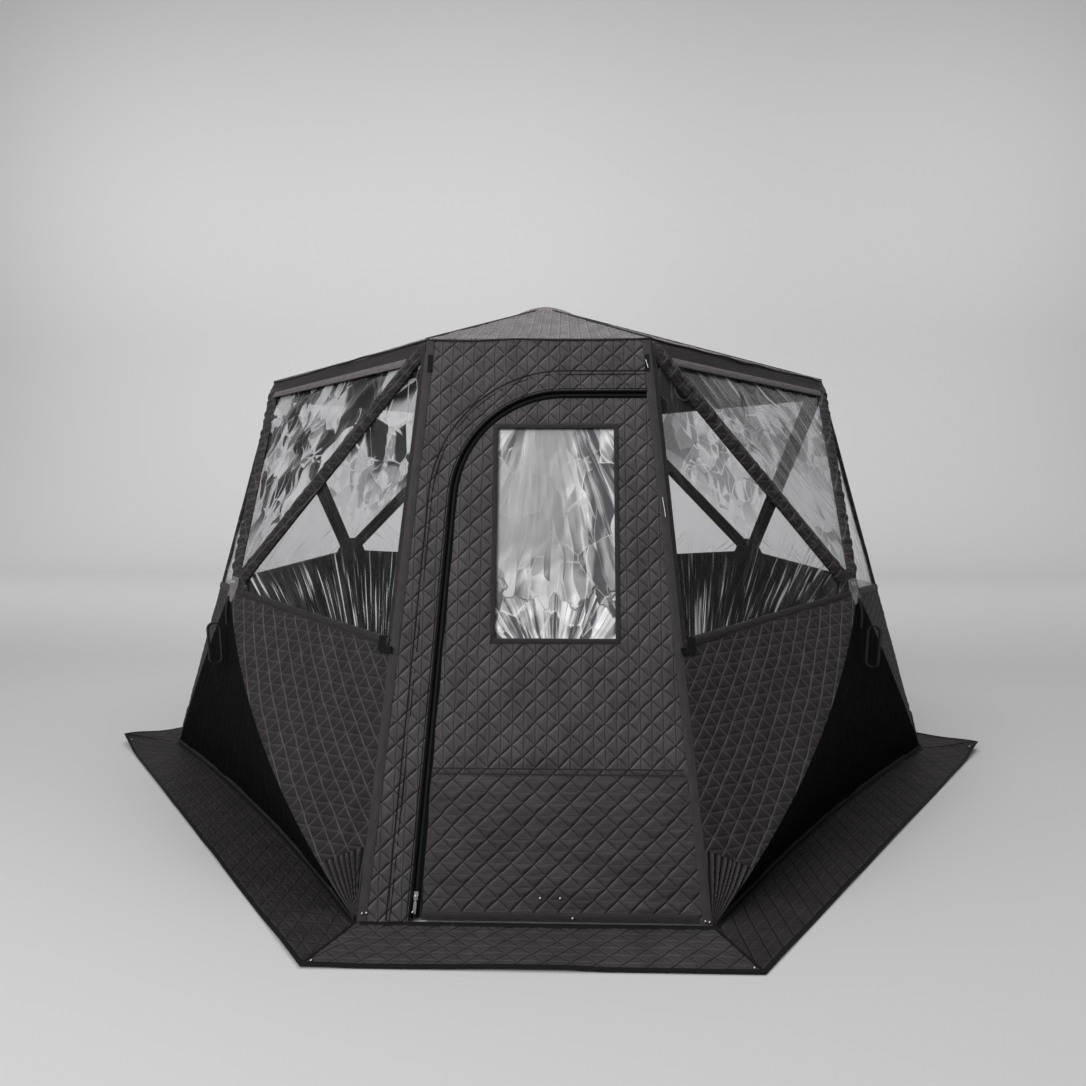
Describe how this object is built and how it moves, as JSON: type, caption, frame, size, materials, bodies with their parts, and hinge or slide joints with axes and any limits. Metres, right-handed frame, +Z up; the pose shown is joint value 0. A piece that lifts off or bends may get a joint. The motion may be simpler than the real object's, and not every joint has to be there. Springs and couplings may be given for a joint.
{
  "type": "sauna tent",
  "caption": "Six-sided insulated pop-up tent with push-through hubs on folding rods, clear upper windows, a zipped door, a stovepipe port and a ground skirt.",
  "frame": {"origin": "on the ground, under the apex, at the centre of the plan", "axes": "+Z up, the door's wall faces -Y, the two side corners lie on +X and -X"},
  "size_m": [4.1352, 3.47, 2.084],
  "materials": {
    "black_webbing": "matte",
    "bright_steel": "polished",
    "clear_film": "gloss",
    "glass_fibre": "satin",
    "heat_proof_cloth": "matte",
    "moulded_nylon": "satin",
    "quilted_cloth": "matte",
    "quilted_roof_cloth": "matte",
    "quilted_skirt_cloth": "matte",
    "zip_tape": "matte"
  },
  "bodies": {
    "shell": {"skirt": "quilted_skirt_cloth", "front_wall": "quilted_cloth", "back_wall": "quilted_cloth", "roof_skin": "quilted_roof_cloth", "storm_flap": "quilted_cloth", "zip_tape": "zip_tape", "zip_coil": "zip_tape", "chimney_patch": "heat_proof_cloth", "chimney_ring": "heat_proof_cloth", "corner_tab_left": "black_webbing", "corner_tab_right": "black_webbing", "wall_front_right": "quilted_cloth", "window_film_front_right": "clear_film", "pull_loop_front_right": "black_webbing", "wall_back_right": "quilted_cloth", "window_film_back_right": "clear_film", "pull_loop_back_right": "black_webbing", "wall_back_left": "quilted_cloth", "window_film_back_left": "clear_film", "pull_loop_back_left": "black_webbing", "wall_front_left": "quilted_cloth", "window_film_front_left": "clear_film", "pull_loop_front_left": "black_webbing"},
    "door": {"door_leaf": "quilted_cloth", "door_window_film": "clear_film", "door_window_binding": "quilted_cloth"},
    "zip_slider": {"zip_slider": "bright_steel"},
    "zip_pull": {"zip_pull": "bright_steel"},
    "chimney_lid": {"chimney_lid": "heat_proof_cloth"},
    "hub_front_right": {"hub_front_right": "moulded_nylon"},
    "rod_front_right_lower_front": {"rod_front_right_lower_front": "glass_fibre"},
    "rod_front_right_lower_side": {"rod_front_right_lower_side": "glass_fibre"},
    "rod_front_right_upper_side": {"rod_front_right_upper_side": "glass_fibre"},
    "rod_front_right_upper_front": {"rod_front_right_upper_front": "glass_fibre"},
    "hub_back_right": {"hub_back_right": "moulded_nylon"},
    "rod_back_right_lower_side": {"rod_back_right_lower_side": "glass_fibre"},
    "rod_back_right_lower_back": {"rod_back_right_lower_back": "glass_fibre"},
    "rod_back_right_upper_back": {"rod_back_right_upper_back": "glass_fibre"},
    "rod_back_right_upper_side": {"rod_back_right_upper_side": "glass_fibre"},
    "hub_back_left": {"hub_back_left": "moulded_nylon"},
    "rod_back_left_lower_back": {"rod_back_left_lower_back": "glass_fibre"},
    "rod_back_left_lower_side": {"rod_back_left_lower_side": "glass_fibre"},
    "rod_back_left_upper_side": {"rod_back_left_upper_side": "glass_fibre"},
    "rod_back_left_upper_back": {"rod_back_left_upper_back": "glass_fibre"},
    "hub_front_left": {"hub_front_left": "moulded_nylon"},
    "rod_front_left_lower_side": {"rod_front_left_lower_side": "glass_fibre"},
    "rod_front_left_lower_front": {"rod_front_left_lower_front": "glass_fibre"},
    "rod_front_left_upper_front": {"rod_front_left_upper_front": "glass_fibre"},
    "rod_front_left_upper_side": {"rod_front_left_upper_side": "glass_fibre"},
    "hub_roof": {"hub_roof": "moulded_nylon"},
    "rod_roof_front_right": {"rod_roof_front_right": "glass_fibre"},
    "rod_roof_right": {"rod_roof_right": "glass_fibre"},
    "rod_roof_back_right": {"rod_roof_back_right": "glass_fibre"},
    "rod_roof_back_left": {"rod_roof_back_left": "glass_fibre"},
    "rod_roof_left": {"rod_roof_left": "glass_fibre"},
    "rod_roof_front_left": {"rod_roof_front_left": "glass_fibre"}
  },
  "joints": [
    {"name": "door_hinge", "type": "hinge", "parent": "shell", "child": "door", "pos_m": [0.486, -1.53, 0], "axis": [-0.0826, 0.2451, 0.966], "range_deg": [0, 110]},
    {"name": "zip_run", "type": "slide", "parent": "shell", "child": "zip_slider", "axis": [0.0664, 0.2454, 0.9671], "range_m": [0, 1.176]},
    {"name": "pull_swing", "type": "hinge", "parent": "zip_slider", "child": "zip_pull", "pos_m": [-0.34482, -1.51281, 0.0775], "axis": [-0.9978, 0.0163, 0.0644], "range_deg": [0, 150]},
    {"name": "lid_hinge", "type": "hinge", "parent": "shell", "child": "chimney_lid", "pos_m": [0, 0.59005, 1.90999], "axis": [1, 0, 0], "range_deg": [0, 150]},
    {"name": "front_right_hub_push", "type": "slide", "parent": "shell", "child": "hub_front_right", "axis": [-0.7467, 0.6267, -0.2229], "range_m": [0, 0.446]},
    {"name": "front_right_lower_front_swing", "type": "hinge", "parent": "hub_front_right", "child": "rod_front_right_lower_front", "pos_m": [1.14079, -0.81027, 0.85367], "axis": [-0.5497, -0.3928, 0.7372], "range_deg": [0, 20.67]},
    {"name": "front_right_lower_side_swing", "type": "hinge", "parent": "hub_front_right", "child": "rod_front_right_lower_side", "pos_m": [1.17023, -0.77521, 0.85418], "axis": [-0.2787, -0.5991, -0.7506], "range_deg": [0, 20.17]},
    {"name": "front_right_upper_side_swing", "type": "hinge", "parent": "hub_front_right", "child": "rod_front_right_upper_side", "pos_m": [1.15876, -0.77277, 0.89637], "axis": [0.6208, 0.5364, -0.5717], "range_deg": [0, 22.81]},
    {"name": "front_right_upper_front_swing", "type": "hinge", "parent": "hub_front_right", "child": "rod_front_right_upper_front", "pos_m": [1.13584, -0.8005, 0.89583], "axis": [0.4034, 0.6931, 0.5974], "range_deg": [0, 22.27]},
    {"name": "back_right_hub_push", "type": "slide", "parent": "shell", "child": "hub_back_right", "axis": [-0.7467, -0.6267, -0.2229], "range_m": [0, 0.446]},
    {"name": "back_right_lower_side_swing", "type": "hinge", "parent": "hub_back_right", "child": "rod_back_right_lower_side", "pos_m": [1.17023, 0.77521, 0.85418], "axis": [0.2787, -0.5991, 0.7506], "range_deg": [0, 20.17]},
    {"name": "back_right_lower_back_swing", "type": "hinge", "parent": "hub_back_right", "child": "rod_back_right_lower_back", "pos_m": [1.14079, 0.81027, 0.85367], "axis": [0.5497, -0.3928, -0.7372], "range_deg": [0, 20.67]},
    {"name": "back_right_upper_back_swing", "type": "hinge", "parent": "hub_back_right", "child": "rod_back_right_upper_back", "pos_m": [1.13584, 0.8005, 0.89583], "axis": [-0.4034, 0.6931, -0.5974], "range_deg": [0, 22.27]},
    {"name": "back_right_upper_side_swing", "type": "hinge", "parent": "hub_back_right", "child": "rod_back_right_upper_side", "pos_m": [1.15876, 0.77277, 0.89637], "axis": [-0.6208, 0.5364, 0.5717], "range_deg": [0, 22.81]},
    {"name": "back_left_hub_push", "type": "slide", "parent": "shell", "child": "hub_back_left", "axis": [0.7467, -0.6267, -0.2229], "range_m": [0, 0.446]},
    {"name": "back_left_lower_back_swing", "type": "hinge", "parent": "hub_back_left", "child": "rod_back_left_lower_back", "pos_m": [-1.14079, 0.81027, 0.85367], "axis": [0.5497, 0.3928, 0.7372], "range_deg": [0, 20.67]},
    {"name": "back_left_lower_side_swing", "type": "hinge", "parent": "hub_back_left", "child": "rod_back_left_lower_side", "pos_m": [-1.17023, 0.77521, 0.85418], "axis": [0.2787, 0.5991, -0.7506], "range_deg": [0, 20.17]},
    {"name": "back_left_upper_side_swing", "type": "hinge", "parent": "hub_back_left", "child": "rod_back_left_upper_side", "pos_m": [-1.15876, 0.77277, 0.89637], "axis": [-0.6208, -0.5364, -0.5717], "range_deg": [0, 22.81]},
    {"name": "back_left_upper_back_swing", "type": "hinge", "parent": "hub_back_left", "child": "rod_back_left_upper_back", "pos_m": [-1.13584, 0.8005, 0.89583], "axis": [-0.4034, -0.6931, 0.5974], "range_deg": [0, 22.27]},
    {"name": "front_left_hub_push", "type": "slide", "parent": "shell", "child": "hub_front_left", "axis": [0.7467, 0.6267, -0.2229], "range_m": [0, 0.446]},
    {"name": "front_left_lower_side_swing", "type": "hinge", "parent": "hub_front_left", "child": "rod_front_left_lower_side", "pos_m": [-1.17023, -0.77521, 0.85418], "axis": [-0.2787, 0.5991, 0.7506], "range_deg": [0, 20.17]},
    {"name": "front_left_lower_front_swing", "type": "hinge", "parent": "hub_front_left", "child": "rod_front_left_lower_front", "pos_m": [-1.14079, -0.81027, 0.85367], "axis": [-0.5497, 0.3928, -0.7372], "range_deg": [0, 20.67]},
    {"name": "front_left_upper_front_swing", "type": "hinge", "parent": "hub_front_left", "child": "rod_front_left_upper_front", "pos_m": [-1.13584, -0.8005, 0.89583], "axis": [0.4034, -0.6931, -0.5974], "range_deg": [0, 22.27]},
    {"name": "front_left_upper_side_swing", "type": "hinge", "parent": "hub_front_left", "child": "rod_front_left_upper_side", "pos_m": [-1.15876, -0.77277, 0.89637], "axis": [0.6208, -0.5364, 0.5717], "range_deg": [0, 22.81]},
    {"name": "roof_hub_push", "type": "slide", "parent": "shell", "child": "hub_roof", "axis": [0, 0, -1], "range_m": [0, 0.639]},
    {"name": "roof_front_right_swing", "type": "hinge", "parent": "hub_roof", "child": "rod_roof_front_right", "pos_m": [0.01534, -0.04548, 2.05153], "axis": [-0.9475, -0.3196, 0], "range_deg": [0, 32.89]},
    {"name": "roof_right_swing", "type": "hinge", "parent": "hub_roof", "child": "rod_roof_right", "pos_m": [0.048, 0, 2.05296], "axis": [0, -1, 0], "range_deg": [0, 29.57]},
    {"name": "roof_back_right_swing", "type": "hinge", "parent": "hub_roof", "child": "rod_roof_back_right", "pos_m": [0.01534, 0.04548, 2.05153], "axis": [0.9475, -0.3196, 0], "range_deg": [0, 32.89]},
    {"name": "roof_back_left_swing", "type": "hinge", "parent": "hub_roof", "child": "rod_roof_back_left", "pos_m": [-0.01534, 0.04548, 2.05153], "axis": [0.9475, 0.3196, 0], "range_deg": [0, 32.89]},
    {"name": "roof_left_swing", "type": "hinge", "parent": "hub_roof", "child": "rod_roof_left", "pos_m": [-0.048, 0, 2.05296], "axis": [0, 1, 0], "range_deg": [0, 29.57]},
    {"name": "roof_front_left_swing", "type": "hinge", "parent": "hub_roof", "child": "rod_roof_front_left", "pos_m": [-0.01534, -0.04548, 2.05153], "axis": [-0.9475, 0.3196, 0], "range_deg": [0, 32.89]}
  ],
  "couplings": [
    {"joint": "front_right_lower_front_swing", "follows": "front_right_hub_push", "rad_per_m": 0.78925},
    {"joint": "front_right_lower_side_swing", "follows": "front_right_hub_push", "rad_per_m": 0.7696},
    {"joint": "front_right_upper_side_swing", "follows": "front_right_hub_push", "rad_per_m": 0.87321},
    {"joint": "front_right_upper_front_swing", "follows": "front_right_hub_push", "rad_per_m": 0.8519},
    {"joint": "back_right_lower_side_swing", "follows": "back_right_hub_push", "rad_per_m": 0.7696},
    {"joint": "back_right_lower_back_swing", "follows": "back_right_hub_push", "rad_per_m": 0.78925},
    {"joint": "back_right_upper_back_swing", "follows": "back_right_hub_push", "rad_per_m": 0.8519},
    {"joint": "back_right_upper_side_swing", "follows": "back_right_hub_push", "rad_per_m": 0.87321},
    {"joint": "back_left_lower_back_swing", "follows": "back_left_hub_push", "rad_per_m": 0.78925},
    {"joint": "back_left_lower_side_swing", "follows": "back_left_hub_push", "rad_per_m": 0.7696},
    {"joint": "back_left_upper_side_swing", "follows": "back_left_hub_push", "rad_per_m": 0.87321},
    {"joint": "back_left_upper_back_swing", "follows": "back_left_hub_push", "rad_per_m": 0.8519},
    {"joint": "front_left_lower_side_swing", "follows": "front_left_hub_push", "rad_per_m": 0.7696},
    {"joint": "front_left_lower_front_swing", "follows": "front_left_hub_push", "rad_per_m": 0.78925},
    {"joint": "front_left_upper_front_swing", "follows": "front_left_hub_push", "rad_per_m": 0.8519},
    {"joint": "front_left_upper_side_swing", "follows": "front_left_hub_push", "rad_per_m": 0.87321},
    {"joint": "roof_front_right_swing", "follows": "roof_hub_push", "rad_per_m": 0.88455},
    {"joint": "roof_right_swing", "follows": "roof_hub_push", "rad_per_m": 0.79402},
    {"joint": "roof_back_right_swing", "follows": "roof_hub_push", "rad_per_m": 0.88455},
    {"joint": "roof_back_left_swing", "follows": "roof_hub_push", "rad_per_m": 0.88455},
    {"joint": "roof_left_swing", "follows": "roof_hub_push", "rad_per_m": 0.79402},
    {"joint": "roof_front_left_swing", "follows": "roof_hub_push", "rad_per_m": 0.88455}
  ]
}
